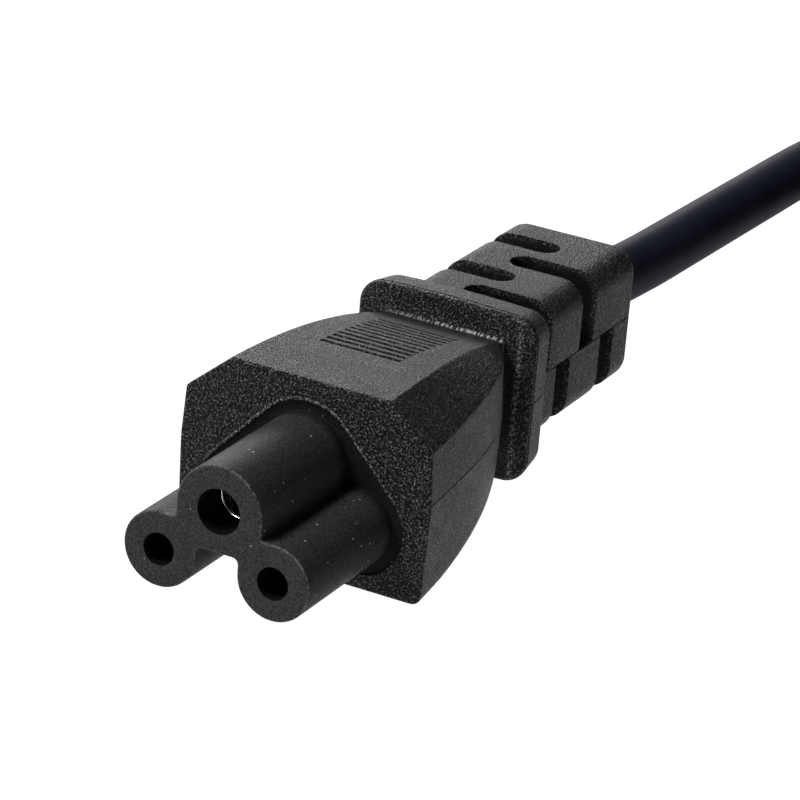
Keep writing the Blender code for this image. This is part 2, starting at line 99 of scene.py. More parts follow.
RELIEF_CORNER = 2.2
RELIEF_CORE_RADIUS = 3.9
SLOT_WIDTH = 2.75
SLOT_PITCH = 4.3
SLOT_FIRST = 2.4
SLOT_SHIFT = -0.25
SLOT_PAST_CENTRE = 1.2
SLOT_COUNT = 4

# Sizes shared with the CAD source: cord and plug
CORD_DIAMETER = 5.2
CORD_RADIUS = CORD_DIAMETER / 2
COIL_TURN_OUT = 34.0
COIL_CENTRE = (COIL_TURN_OUT, 105.0)
TAIL_END_Y = 51.3
PLUG_X = 57.6
PLUG_FACE_Y = -11.0
PLUG_LENGTH = 38.0
PLUG_HALF_WIDTH = 13.0
PLUG_HALF_HEIGHT = 12.5
PLUG_GRIP_HALF = 9.5
PLUG_RELIEF_LENGTH = 24.0
BLADE_SPACING = 12.7
BLADE_WIDTH = 6.35
BLADE_THICKNESS = 1.52
BLADE_LENGTH = 15.9
BLADE_ROOT = 4.0
BLADE_RISE = 3.6
EARTH_PIN_DROP = 11.9
EARTH_PIN_RADIUS = 2.4
EARTH_PIN_LENGTH = 18.5

# Places along the connector
CONNECTOR_LENGTH = NOSE_LENGTH + BODY_LENGTH + FLANGE_THICKNESS + RELIEF_LENGTH
NOSE_Y = -CONNECTOR_LENGTH / 2
FACE_Y = NOSE_Y + NOSE_LENGTH
FLANGE_Y = FACE_Y + BODY_LENGTH
RELIEF_Y = FLANGE_Y + FLANGE_THICKNESS
END_Y = RELIEF_Y + RELIEF_LENGTH

# Details that only the dressed connector has, in millimetres
RIB_GROOVES = 11
RIB_FIRST = 8.2
RIB_PITCH = 0.98
RIB_HALF_LENGTH = 3.5
RIB_END_SLOPE = 0.12
RIB_FLOOR_SHARE = 0.55
RIB_MARGIN = 0.1
RIB_DEPTH = 0.4
RIB_HALF_WIDTH = 0.19
BOLD_RIBS = 4
BOLD_RIB_HALF_WIDTH = 0.24
RIBS_END_Y = FACE_Y + RIB_FIRST + RIB_PITCH * (RIB_GROOVES - 1)
TOP_FILLETS = (0.3, 0.5)
PARTING_GROOVE = 0.07
STATION_FIRST = 0.5
STATION_STEP = 0.6
FRONT_EDGE = 0.22
BEAD_RADIUS = 0.15
BEAD_RISE = 0.08
POCKET_DEPTH = 1.5
FOOT_RADIUS = 0.9
FOOT_LIFT = 0.01
FOOT_END_GROWTH = 0.2
FOOT_END_DEPTH = 0.6
FLANGE_FRONT_EDGE = 0.45
FLANGE_REAR_EDGE = 0.6
FLANGE_LINE = 0.5
FLANGE_LINE_WIDTH = 0.2
FLANGE_LINE_DEPTH = 0.2
RIM_CORNER_SHARE = 0.4
RELIEF_OVERLAP = 1.0
RELIEF_STRAIGHT = 5.0
RELIEF_MIDDLE = 12.0
RELIEF_MIDDLE_INSET = 0.02
RELIEF_EDGE = 0.6
RELIEF_BEVEL = 0.25
CORE_SHORT_OF_END = 0.9
LOBE_FILLET = 0.25
NOSE_EDGE = 0.2
NOSE_FILLET = 0.1
NOSE_RINGS = (4.0, 9.0)
NOSE_IN_COLLAR = 1.0
SOCKET_MOUTH = 0.12
COLLAR_LAP = 0.1
COLLAR_DEPTH = 2.5

# Contacts, their slit in degrees
CONTACT_RADIUS = 1.5
CONTACT_WALL = 0.28
CONTACT_DEPTH = 5.0
EARTH_CONTACT_RADIUS = 2.05
EARTH_CONTACT_WALL = 0.32
EARTH_CONTACT_DEPTH = 3.5
CONTACT_ROOM = 0.25
CONTACT_END_GAP = 0.7
CONTACT_EDGE_SHARE = 0.45
CONTACT_SLIT_END = 60
CONTACT_SLIT_ANGLE = 18

# Strap round the coil
TIE_WIDTH = 8.0
TIE_THICKNESS = 0.8
TIE_EDGE = 0.2
TIE_EDGE_SHARE = 0.97
TIE_CORNER = 2.4
TIE_SIDE_ROOM = 0.6
TIE_TOP_ROOM = 0.2
TIE_FLOOR_GAP = 0.02
TAB_THICKNESS = 0.7
TAB_WIDTH_SHARE = 0.98

# Details of the plug
PLUG_EDGE = 1.2
PLUG_CORNER = 4.0
PLUG_END_HALF = 5.6
PLUG_END_CORNER = 4.5
PLUG_CORD_HALF = 4.1
PLUG_CORD_EDGE = 0.4
PLUG_STATION_STEP = 0.5
GRIP_FIRST = 0.47 * PLUG_LENGTH
GRIP_PITCH = 2.0
GRIP_RIDGES = 6
GRIP_DEPTH = 0.45
PLUG_RELIEF_SLOTS = 6
PLUG_RELIEF_LEAD = 0.4
PLUG_SLOT_DEPTH = 0.9
PLUG_RELIEF_ROUNDNESS = 0.85
PIN_POCKET_GAP = 0.1
PIN_POCKET_DEPTH = 1.0
BLADE_TAPER = 1.0
BLADE_HOLE_RADIUS = 1.55
BLADE_HOLE_FROM_TIP = 3.2
BLADE_BEVEL = 0.22
PIN_TIP_LENGTH = 1.8
PIN_TIP_RADIUS = 0.02
PIN_TIP_POWER = 0.9

# Smoothness
SHARP_ANGLE = math.radians(35)
BEVEL_ANGLE = math.radians(40)

# Cord: the free stretch's own points, and the coil's turns
LEAD_ROUTE = [
    (0.0, 30.05, 8.48), (0.0, 36.0, 7.88), (0.0, 45.5, 7.17), (0.0, 54.0, 6.83),
    (0.0, 63.0, 6.51), (0.0, 73.0, 6.15), (0.0, 80.0, 5.9), (0.0, 86.0, 5.55),
    (0.0, 92.0, 4.85), (0.0, 98.5, 3.8),
]
ROUTE_STEPS = 8
LAYER_TURNS = 2.65
RISE_TURNS = 0.2
POINTS_PER_TURN = 96
TIE_LIFT = 1.0
TIE_LIFT_WIDTH = 26.0
FIRST_LIFT = 0.4
FIRST_LIFT_TURNS = 0.12
TAIL_STEPS = 20
TAIL_IN_PLUG = 3.0

# Camera, at the photo's angle: where it looks, from which side, and how far off
LOOK_AT = Vector((9.995, -21.244, 18.714)) * MM
AZIMUTH = math.radians(26.402)
ELEVATION = math.radians(22.7485)
ROLL = math.radians(4.796)
DISTANCE = 0.3
LENS = 180.0


# Camera and cord

def make_camera():
    """The photo's camera, turned a little about its own axis."""
    back = Vector((math.sin(AZIMUTH) * math.cos(ELEVATION),
                   -math.cos(AZIMUTH) * math.cos(ELEVATION), math.sin(ELEVATION)))
    right = (-back).cross(Vector((0, 0, 1))).normalized()
    up = right.cross(-back)
    across = right * math.cos(ROLL) + up * math.sin(ROLL)
    upward = up * math.cos(ROLL) - right * math.sin(ROLL)
    camera = bpy.data.objects.new("camera", bpy.data.cameras.new("camera"))
    camera.data.sensor_width = 36
    camera.data.lens = LENS
    camera.data.clip_start = 0.01
    camera.data.clip_end = 20
    turn = Matrix((across, upward, back)).transposed().to_4x4()
    camera.matrix_world = Matrix.Translation(LOOK_AT + back * DISTANCE) @ turn
    bpy.context.scene.collection.objects.link(camera)
    bpy.context.scene.camera = camera


def mix(a, b, t):
    return a + (b - a) * t


def smoothstep(t):
    t = min(max(t, 0.0), 1.0)
    return t * t * (3 - 2 * t)


def smooth_route(points):
    """A smooth curve through the route's own points."""
    points = [Vector(p) for p in points]
    made = []
    for i in range(len(points) - 1):
        before, a, b = points[max(i - 1, 0)], points[i], points[i + 1]
        after = points[min(i + 2, len(points) - 1)]
        for k in range(ROUTE_STEPS):
            t = k / ROUTE_STEPS
            made.append(0.5 * (2 * a + (b - before) * t + (2 * before - 5 * a + 4 * b - after) * t * t
                               + (3 * a - before - 3 * b + after) * t ** 3))
    return made + [points[-1]]


def coil_route():
    """A flat spiral inward on the floor, a rise, and a spiral outward on top of the first."""
    total = 2 * LAYER_TURNS + RISE_TURNS
    count = round(total * POINTS_PER_TURN)
    points = []
    for i in range(count + 1):
        turns = total * i / count
        inward = min(turns, LAYER_TURNS)
        outward = max(0.0, turns - LAYER_TURNS - RISE_TURNS)
        radius = COIL_TURN_OUT - CORD_DIAMETER * (inward - outward)
        rise = smoothstep((turns - LAYER_TURNS) / RISE_TURNS)
        angle = math.pi - 2 * math.pi * turns
        from_tie = (math.degrees(angle) - 90 + 180) % 360 - 180
        lift = TIE_LIFT * math.exp(-(from_tie / TIE_LIFT_WIDTH) ** 2)
        lift += FIRST_LIFT * (1 - smoothstep(turns / FIRST_LIFT_TURNS))
        points.append(Vector((COIL_CENTRE[0] + radius * math.cos(angle),
                              COIL_CENTRE[1] + radius * math.sin(angle),
                              CORD_RADIUS + CORD_DIAMETER * rise + lift)))
    return points


def tail_route():
    """One bend from the top of the coil to the plug's axis, and a little way into its relief."""
    top = CORD_RADIUS + CORD_DIAMETER
    points = []
    for i in range(1, TAIL_STEPS + 1):
        t = i / TAIL_STEPS
        eased = smoothstep(t)
        points.append(Vector((mix(2 * COIL_TURN_OUT, PLUG_X, eased), mix(COIL_CENTRE[1], TAIL_END_Y, t),
                              mix(top, PLUG_HALF_HEIGHT, eased))))
    return points + [Vector((PLUG_X, TAIL_END_Y - TAIL_IN_PLUG, PLUG_HALF_HEIGHT))]


def cord_piece():
    """The whole cord on one open line: the free stretch, the coil and the tail to the plug."""
    points = smooth_route(LEAD_ROUTE) + coil_route() + tail_route()
    curve = bpy.data.curves.new("cord", "CURVE")
    curve.dimensions = "3D"
    curve.bevel_depth = CORD_RADIUS * MM
    curve.bevel_resolution = 14
    curve.use_fill_caps = True
    spline = curve.splines.new("POLY")
    spline.points.add(len(points) - 1)
    for point, where in zip(spline.points, points):
        point.co = (*(where * MM), 1)
    spline.use_smooth = True
    return add_object("cord", curve)


# Outlines, as lists of (x, z)

def arc(centre, radius, start, end, steps):
    """Points on an arc from one angle to another, in degrees."""
    angles = [math.radians(start + (end - start) * i / steps) for i in range(steps + 1)]
    return [(centre[0] + radius * math.cos(a), centre[1] + radius * math.sin(a)) for a in angles]


def circle(centre, radius, sides):
    return arc(centre, radius, 0, 360, sides)[:-1]


def quarter(radius, steps=4):
    """A quarter of a circle, as pairs that run from (0, radius) to (radius, 0)."""
    angles = [math.pi / 2 * i / steps for i in range(steps + 1)]
    return [(radius * (1 - math.cos(a)), radius * (1 - math.sin(a))) for a in angles]


def filleted(points, radii, steps=6):
    """An open path of corner points whose inner corners are rounded by the given radii."""
    side_share = 0.45
    made = [points[0]]
    for before, corner, after, radius in zip(points, points[1:], points[2:], radii):
        p, c, n = (np.array(q, float) for q in (before, corner, after))
        back, ahead = np.linalg.norm(p - c), np.linalg.norm(n - c)
        into, out = (p - c) / back, (n - c) / ahead
        half = math.acos(max(-1.0, min(1.0, float(into @ out)))) / 2
        reach = min(radius / math.tan(half), side_share * back, side_share * ahead)
        start, end = c + into * reach, c + out * reach
        for i in range(steps + 1):
            t = i / steps
            made.append(tuple((1 - t) ** 2 * start + 2 * t * (1 - t) * c + t * t * end))
    return made + [points[-1]]


def mirrored(half):
    """A closed outline from its right half, which runs from the top middle to the bottom middle."""
    return half + [(-x, z) for x, z in reversed(half[1:-1])]


def edge_normals(edges, side):
    """Unit normals of an outline's edges, outward where side is the sign of its area."""
    across = np.stack([edges[:, 1], -edges[:, 0]], axis=1) * side
    return across / np.maximum(np.linalg.norm(edges, axis=1)[:, None], 1e-9)


def grown(outline, amount):
    """The outline moved outward by amount, inward where it is negative."""
    if not amount:
        return outline
    points = np.array(outline, float)
    after, before = np.roll(points, -1, 0), np.roll(points, 1, 0)
    area = 0.5 * float(np.sum(points[:, 0] * after[:, 1] - after[:, 0] * points[:, 1]))
    side = math.copysign(1, area)
    one, two = edge_normals(points - before, side), edge_normals(after - points, side)
    middle = one + two
    middle /= np.maximum(np.linalg.norm(middle, axis=1)[:, None], 1e-9)
    stretch = np.clip(np.sum(middle * one, axis=1), 0.5, 1)[:, None]
    return [tuple(p) for p in points + middle / stretch * amount]


def cloverleaf(grow=0.0):
    """The nose's outline: two power lobes, the earth lobe above them, and the notch between their feet."""
    steps = 36
    half, base = SOCKET_SPACING / 2, SOCKET_HEIGHT
    lobe, earth, corner = POWER_LOBE_RADIUS, EARTH_LOBE_RADIUS, NOTCH_CORNER
    notch_x, notch_z = half - lobe - corner, base + NOTCH_TOP - corner
    inner_x, inner_z = earth + LOBE_FILLET, base + lobe + LOBE_FILLET
    right = arc((half, base), lobe, -180, 90, steps)
    inner_right = arc((inner_x, inner_z), LOBE_FILLET, 270, 180, 4)
    upper = arc((0, base + EARTH_RISE), earth, 0, 180, steps)
    inner_left = arc((-inner_x, inner_z), LOBE_FILLET, 0, -90, 4)
    left = arc((-half, base), lobe, 90, 360, steps)
    notch = arc((-notch_x, notch_z), corner, 180, 90, 6) + arc((notch_x, notch_z), corner, 90, 0, 6)
    return grown(right + inner_right + upper + inner_left + left + notch, grow)


def collar_outline(grow):
    """The three lobes with straight tangents between them, grown outward."""
    half = SOCKET_SPACING / 2
    lobe, earth = POWER_LOBE_RADIUS + grow, EARTH_LOBE_RADIUS + grow
    between = math.hypot(half, EARTH_RISE)
    tangent = math.degrees(math.acos((earth - lobe) / between) - math.atan2(EARTH_RISE, half))
    right = arc((half, SOCKET_HEIGHT), lobe, -90, tangent, 28)
    upper = arc((0, SOCKET_HEIGHT + EARTH_RISE), earth, tangent, 180 - tangent, 24)
    left = arc((-half, SOCKET_HEIGHT), lobe, 180 - tangent, 270, 28)
    return right + upper + left


def rounded_rectangle(half_width, half_height, corner, centre_z, arch=0.0, steps=10):
    """A rounded rectangle with arched top and bottom and a fine groove along the middle of each side."""
    x, z = half_width - corner, half_height - corner
    middle = [k / 4 for k in (3, 2, 1, 0, -1, -2, -3)]
    deep = PARTING_GROOVE
    groove = [(half_width, -deep), (half_width - deep, 0.0), (half_width, deep)]
    points = arc((x, z), corner, 0, 90, steps)
    points += [(x * k, half_height + arch * (1 - k * k)) for k in middle]
    points += arc((-x, z), corner, 90, 180, steps)
    points += [(-px, -pz) for px, pz in groove]
    points += arc((-x, -z), corner, 180, 270, steps)
    points += [(-x * k, -half_height - arch * (1 - k * k)) for k in middle]
    points += arc((x, -z), corner, 270, 360, steps)
    points += groove
    return [(px, pz + centre_z) for px, pz in points]


def body_outline(depth, rib=0.0):
    """Cross-section of the body at a depth behind its front face, its ribbed patch lowered by rib."""
    t = min(depth / BODY_LENGTH, 1.0)
    base = SOCKET_HEIGHT
    taper = NECK_STRAIGHT_SHARE * t + (1 - NECK_STRAIGHT_SHARE) * t ** NECK_POWER
    side = mix(FACE_HALF_WIDTH, NECK_HALF_WIDTH, taper)
    top_half = mix(FACE_TOP_HALF, NECK_TOP_HALF, t ** NECK_TOP_HALF_POWER)
    top = base + mix(FACE_TOP_RISE, NECK_TOP_RISE, t ** NECK_TOP_RISE_POWER)
    drop = mix(NECK_CHAMFER_DROP, FACE_CHAMFER_DROP, (1 - t * t) ** NECK_CHAMFER_POWER)
    past_rest = max(0.0, (t * BODY_LENGTH - REST_LENGTH) / (BODY_LENGTH - REST_LENGTH))
    bottom = mix(0.0, base + NECK_BOTTOM_RISE, past_rest ** NECK_BOTTOM_POWER)
    corner = mix(FACE_CORNER, NECK_CORNER, t)
    edge = top - drop
    edge_x = side - SIDE_DRAFT * abs(edge - PARTING_Z)
    foot_x = side - SIDE_DRAFT * (PARTING_Z - bottom) * 0.5
    deep = PARTING_GROOVE
    ribbed = [(0.0, top - rib), (RIB_HALF_LENGTH, top - rib), (RIB_HALF_LENGTH + RIB_END_SLOPE, top)]
    upper = [(RIB_HALF_LENGTH + 0.3, top), (top_half, top), (edge_x, edge), (side, PARTING_Z + deep)]
    groove = [(side - deep, PARTING_Z)]
    lower = [(side, PARTING_Z - deep), (foot_x, bottom), (0.0, bottom)]
    return mirrored(ribbed + filleted(upper, TOP_FILLETS) + groove + filleted(lower, [corner], 10))


# Meshes

def ring_at(outline, y):
    return [(x, y, z) for x, z in outline]


def skin(rings, start=True, end=True):
    """Points and faces of a skin through rings of as many points each, its ends closed or open."""
    count = len(rings[0])
    points = [p for ring in rings for p in ring]
    faces = []
    for k in range(len(rings) - 1):
        a, b = k * count, (k + 1) * count
        faces += [(a + i, a + (i + 1) % count, b + (i + 1) % count, b + i) for i in range(count)]
    if start:
        faces.append(tuple(range(count)))
    if end:
        faces.append(tuple(range((len(rings) - 1) * count, len(rings) * count)))
    return points, faces


def rounded_end(y, edge, inward, inset=0.0):
    """Places along Y and insets of a rounded end, from its face at y inward, where inward is 1 or -1."""
    return [(y + inward * along, inset + across) for along, across in quarter(edge)]


def turned(centre, profile, sides=64):
    """A closed shell turned about an axis along Y, from (y, radius) pairs."""
    return skin([ring_at(circle(centre, radius, sides), y) for y, radius in profile])


def add_object(name, data):
    obj = bpy.data.objects.new(name, data)
    bpy.context.scene.collection.objects.link(obj)
    return obj


def object_from(name, *shells):
    """One object from closed or open shells of (points, faces)."""
    bm = bmesh.new()
    for points, faces in shells:
        verts = [bm.verts.new(Vector(p) * MM) for p in points]
        made = [bm.faces.new([verts[i] for i in face]) for face in faces]
        bmesh.ops.recalc_face_normals(bm, faces=made)
    mesh = bpy.data.meshes.new(name)
    bm.to_mesh(mesh)
    bm.free()
    return add_object(name, mesh)


def apply_modifiers(obj):
    bpy.context.view_layer.update()
    graph = bpy.context.evaluated_depsgraph_get()
    mesh = bpy.data.meshes.new_from_object(obj.evaluated_get(graph))
    obj.modifiers.clear()
    obj.data = mesh


def cut(obj, cutter):
    modifier = obj.modifiers.new(cutter.name, "BOOLEAN")
    modifier.operation = "DIFFERENCE"
    modifier.object = cutter
    modifier.solver = "EXACT"
    apply_modifiers(obj)
    bpy.data.objects.remove(cutter, do_unlink=True)


def bevel(obj, width, segments):
    """Rounds the object's sharp edges."""
    modifier = obj.modifiers.new("edges", "BEVEL")
    modifier.width = width * MM
    modifier.segments = segments
    modifier.limit_method = "ANGLE"
    modifier.angle_limit = BEVEL_ANGLE
    apply_modifiers(obj)


def joined(name, objects):
    """One object that holds the meshes of several, which are removed."""
    bm = bmesh.new()
    for obj in objects:
        bm.from_mesh(obj.data)
        bpy.data.objects.remove(obj, do_unlink=True)
    mesh = bpy.data.meshes.new(name)
    bm.to_mesh(mesh)
    bm.free()
    return add_object(name, mesh)


def dress(obj, look, nodes):
    """Gives a piece its material, and its place in the frame for the nodes it stands for."""
    obj.data.materials.clear()
    obj.data.materials.append(look)
    if obj.type == "MESH":
        obj.data.shade_smooth()
        obj.data.set_sharp_from_angle(angle=SHARP_ANGLE)
    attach(obj, "root")
    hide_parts(*nodes)
    return obj


# The connector's moulding

def body_stations():
    """Depths and rib depths of the body's sections: closer together over the ribs."""
    count = int((BODY_LENGTH + 2 * STATION_STEP) / STATION_STEP)
    plain = [(STATION_FIRST + STATION_STEP * i, 0.0) for i in range(count)]
    ribs = []
    for i in range(RIB_GROOVES):
        middle = RIB_FIRST + RIB_PITCH * i
        half = BOLD_RIB_HALF_WIDTH if i < BOLD_RIBS else RIB_HALF_WIDTH
        floor = RIB_FLOOR_SHARE * half
        ribs += [(middle - half, 0.0), (middle - floor, RIB_DEPTH), (middle + floor, RIB_DEPTH),
                 (middle + half, 0.0)]
    start, end = ribs[0][0] - RIB_MARGIN, ribs[-1][0] + RIB_MARGIN
    return sorted([station for station in plain if not start < station[0] < end] + ribs)


def body_shell():
    """The body's skin: rounded front rim, ribs and parting groove, open at the front."""
    rings = [ring_at(grown(body_outline(depth), -inset), FACE_Y + depth)
             for depth, inset in quarter(FRONT_EDGE, 3)]
    rings += [ring_at(body_outline(depth, rib), FACE_Y + depth) for depth, rib in body_stations()]
    return skin(rings, start=False)


def flat_front(pocket_rim):
    """The flat face between the body's front rim and the bead round the collar's pocket."""
    bm = bmesh.new()
    edges = []
    for outline in (grown(body_outline(0.0), -FRONT_EDGE), pocket_rim):
        loop = [bm.verts.new(p) for p in ring_at(outline, FACE_Y)]
        edges += [bm.edges.new(pair) for pair in zip(loop, loop[1:] + loop[:1])]
    bmesh.ops.triangle_fill(bm, use_beauty=True, use_dissolve=False, edges=edges)
    bm.verts.index_update()
    points = [tuple(v.co) for v in bm.verts]
    faces = [tuple(v.index for v in f.verts) for f in bm.faces]
    bm.free()
    return points, faces


def collar_pocket(pocket):
    """A low bead round the collar's pocket, and the pocket's wall."""
    rings = []
    for angle in range(0, 181, 20):
        a = math.radians(angle)
        outline = grown(pocket, BEAD_RADIUS * (1 + math.cos(a)))
        rings.append(ring_at(outline, FACE_Y - BEAD_RISE * math.sin(a)))
    rings.append(ring_at(pocket, FACE_Y + POCKET_DEPTH))
    return skin(rings, start=False)


def foot_fillet():
    """The small hollow where the body's neck runs out into the flange."""
    rings = []
    for growth, back in quarter(FOOT_RADIUS, 9):
        depth = BODY_LENGTH - back
        rings.append(ring_at(grown(body_outline(depth), growth + FOOT_LIFT), FACE_Y + depth + FOOT_LIFT))
    rings.append(ring_at(grown(body_outline(BODY_LENGTH), FOOT_END_GROWTH), FLANGE_Y + FOOT_END_DEPTH))
    return skin(rings)


def flange_shell():
    """The flange: rounded rims and a fine line round it just behind its front."""
    line, half = FLANGE_Y + FLANGE_LINE, FLANGE_LINE_WIDTH / 2
    rims = rounded_end(FLANGE_Y, FLANGE_FRONT_EDGE, 1)
    rims += [(line, 0.0), (line + half, FLANGE_LINE_DEPTH), (line + 2 * half, 0.0)]
    rims += reversed(rounded_end(RELIEF_Y, FLANGE_REAR_EDGE, -1, 2 * FLANGE_TAPER))
    return skin([ring_at(rounded_rectangle(FLANGE_HALF_WIDTH - inset, FLANGE_HALF_HEIGHT - inset,
                                           FLANGE_CORNER - RIM_CORNER_SHARE * inset, PARTING_Z - FLANGE_DROP,
                                           FLANGE_ARCH), y) for y, inset in rims])


def relief_shell():
    """The strain relief before its slots are cut."""
    rims = [(RELIEF_Y - RELIEF_OVERLAP, 0.0), (RELIEF_Y + RELIEF_STRAIGHT, 0.0),
            (RELIEF_Y + RELIEF_MIDDLE, RELIEF_MIDDLE_INSET)]
    rims += reversed(rounded_end(END_Y, RELIEF_EDGE, -1, RELIEF_TAPER))
    return skin([ring_at(rounded_rectangle(RELIEF_HALF_WIDTH - inset, RELIEF_HALF_HEIGHT - inset,
                                           RELIEF_CORNER - RIM_CORNER_SHARE * inset, PARTING_Z), y)
                 for y, inset in rims])


def slot_cutter(index, up, across):
    """A slot's cutter: rounded where it ends near the top, flat where it stops at the parting plane."""
    y = RELIEF_Y + SLOT_FIRST + SLOT_PITCH * index
    radius = SLOT_WIDTH / 2
    inner_x = SLOT_SHIFT - across * (SLOT_PAST_CENTRE - radius)
    turn = arc((inner_x, y), radius, 90 * across, 90 * across + 180, 20)
    far = across * 2 * RELIEF_HALF_WIDTH
    outline = turn + [(far, turn[-1][1]), (far, turn[0][1])]
    heights = sorted((PARTING_Z, PARTING_Z + up * 2 * RELIEF_HALF_HEIGHT))
    return object_from(f"slot_{index}_{up}", skin([[(px, py, z) for px, py in outline] for z in heights]))


def moulding_piece():
    """Body, flange and slotted strain relief."""
    relief = object_from("relief", relief_shell())
    for index in range(SLOT_COUNT):
        side = 1 if index % 2 == 0 else -1
        for up, across in ((1, side), (-1, -side)):
            cut(relief, slot_cutter(index, up, across))
    bevel(relief, RELIEF_BEVEL, 4)
    core = turned((0, PARTING_Z), [(RELIEF_Y - RELIEF_OVERLAP, RELIEF_CORE_RADIUS),
                                   (END_Y - CORE_SHORT_OF_END, RELIEF_CORE_RADIUS)])
    pocket = collar_outline(COLLAR_WIDTH)
    body = object_from("front", body_shell(), flat_front(grown(pocket, 2 * BEAD_RADIUS)),
                       collar_pocket(pocket), foot_fillet(), flange_shell(), core)
    return joined("connector_moulding", [body, relief])


# The nose and its contacts

Socket = namedtuple("Socket", "name centre radius contact_radius contact_wall contact_depth")


def socket_list():
    half = SOCKET_SPACING / 2
    power = (POWER_SOCKET_RADIUS, CONTACT_RADIUS, CONTACT_WALL, CONTACT_DEPTH)
    earth = (EARTH_SOCKET_RADIUS, EARTH_CONTACT_RADIUS, EARTH_CONTACT_WALL, EARTH_CONTACT_DEPTH)
    return [Socket("line", (half, SOCKET_HEIGHT), *power), Socket("neutral", (-half, SOCKET_HEIGHT), *power),
            Socket("earth", (0, SOCKET_HEIGHT + EARTH_RISE), *earth)]


def socket_cutter(socket):
    """A socket's cutter: a rounded mouth, a lip, and the wider bore behind it that holds the contact."""
    bore = socket.contact_radius + CONTACT_ROOM
    lip_y = NOSE_Y + SOCKET_LIP
    profile = [(NOSE_Y - 1, socket.radius + SOCKET_MOUTH)]
    profile += rounded_end(NOSE_Y, SOCKET_MOUTH, 1, socket.radius)
    profile += [(lip_y, socket.radius), (lip_y, bore), (NOSE_Y + SOCKET_DEPTH, bore)]
    return object_from(f"bore_{socket.name}", turned(socket.centre, profile))


def nose_piece():
    """The cloverleaf nose with its three sockets, and the collar that its root stands on."""
    root = FACE_Y + COLLAR_RECESS
    rings = [ring_at(cloverleaf(-inset), y) for y, inset in rounded_end(NOSE_Y, NOSE_EDGE, 1)]
    rings += [ring_at(cloverleaf(), y) for y in (NOSE_Y + along for along in NOSE_RINGS)]
    rings += [ring_at(cloverleaf(growth), root - back) for growth, back in quarter(NOSE_FILLET, 3)]
    rings.append(ring_at(cloverleaf(), root + NOSE_IN_COLLAR))
    nose = object_from("nose", skin(rings))
    for socket in socket_list():
        cut(nose, socket_cutter(socket))
    outline = collar_outline(COLLAR_WIDTH + COLLAR_LAP)
    collar = object_from("collar", skin([ring_at(outline, y) for y in (root, root + COLLAR_DEPTH)]))
    return joined("connector_insert", [nose, collar])


def contact_piece(socket):
    """A rolled spring sleeve with a slit down one side and a rounded mouth."""
    first, last = CONTACT_SLIT_END, CONTACT_SLIT_END + 360 - CONTACT_SLIT_ANGLE
    outer, wall = socket.contact_radius, socket.contact_wall
    outline = arc(socket.centre, outer, first, last, 60) + arc(socket.centre, outer - wall, last, first, 60)
    rims = rounded_end(NOSE_Y + socket.contact_depth, CONTACT_EDGE_SHARE * wall, 1)
    rims += [(NOSE_Y + SOCKET_DEPTH - CONTACT_END_GAP, 0.0)]
    rings = [ring_at(grown(outline, -inset), y) for y, inset in rims]
    return object_from(f"sleeve_{socket.name}", skin(rings))


# The coil's tie

def tie_piece():
    """A strap round all the turns, with its free end lying on top."""
    inner = COIL_TURN_OUT - LAYER_TURNS * CORD_DIAMETER - CORD_RADIUS
    outer = COIL_TURN_OUT + CORD_RADIUS
    middle_y = COIL_CENTRE[1] + (inner + outer) / 2
    half = (outer - inner) / 2 + TIE_SIDE_ROOM
    low, top = TIE_FLOOR_GAP, 2 * CORD_DIAMETER + TIE_LIFT + TIE_TOP_ROOM
    half_height = (top - low) / 2 - TIE_THICKNESS
    centre_z = (top + low + TIE_THICKNESS) / 2

    def loop(across, out):
        outline = rounded_rectangle(half + out, half_height + out, TIE_CORNER + out, centre_z, steps=8)
        return [(COIL_CENTRE[0] + across * TIE_WIDTH / 2, y + middle_y, z) for y, z in outline]

    share, thick = TIE_EDGE_SHARE, TIE_THICKNESS
    section = [(-1, thick - TIE_EDGE), (-share, thick), (share, thick), (1, thick - TIE_EDGE),
               (1, TIE_EDGE), (share, 0.0), (-share, 0.0), (-1, TIE_EDGE)]
    rings = [loop(across, out) for across, out in section]
    band = skin(rings + rings[:1], start=False, end=False)

    tab_x, tab_z, high = TAB_WIDTH_SHARE * TIE_WIDTH / 2, top + thick / 2, TAB_THICKNESS
    corners = [(-tab_x, 0.0), (tab_x, 0.0), (tab_x, high), (-tab_x, high)]
    tab = []
    for y, lift in ((-half + 2.0, 0.03), (-2.0, 0.05), (half - 6.0, 0.05), (half - 3.0, 0.2)):
        tab.append([(COIL_CENTRE[0] + x, middle_y + y, tab_z + lift + z) for x, z in corners])
    return object_from("coil_tie", band, skin(tab))


# The plug

def plug_outline(half_width, half_height, corner):
    x, z = half_width - corner, half_height - corner
    points = []
    for side, up, start in ((1, 1, 0), (-1, 1, 90), (-1, -1, 180), (1, -1, 270)):
        points += arc((side * x, up * z), corner, start, start + 90, 10)
    return [(px + PLUG_X, pz + PLUG_HALF_HEIGHT) for px, pz in points]


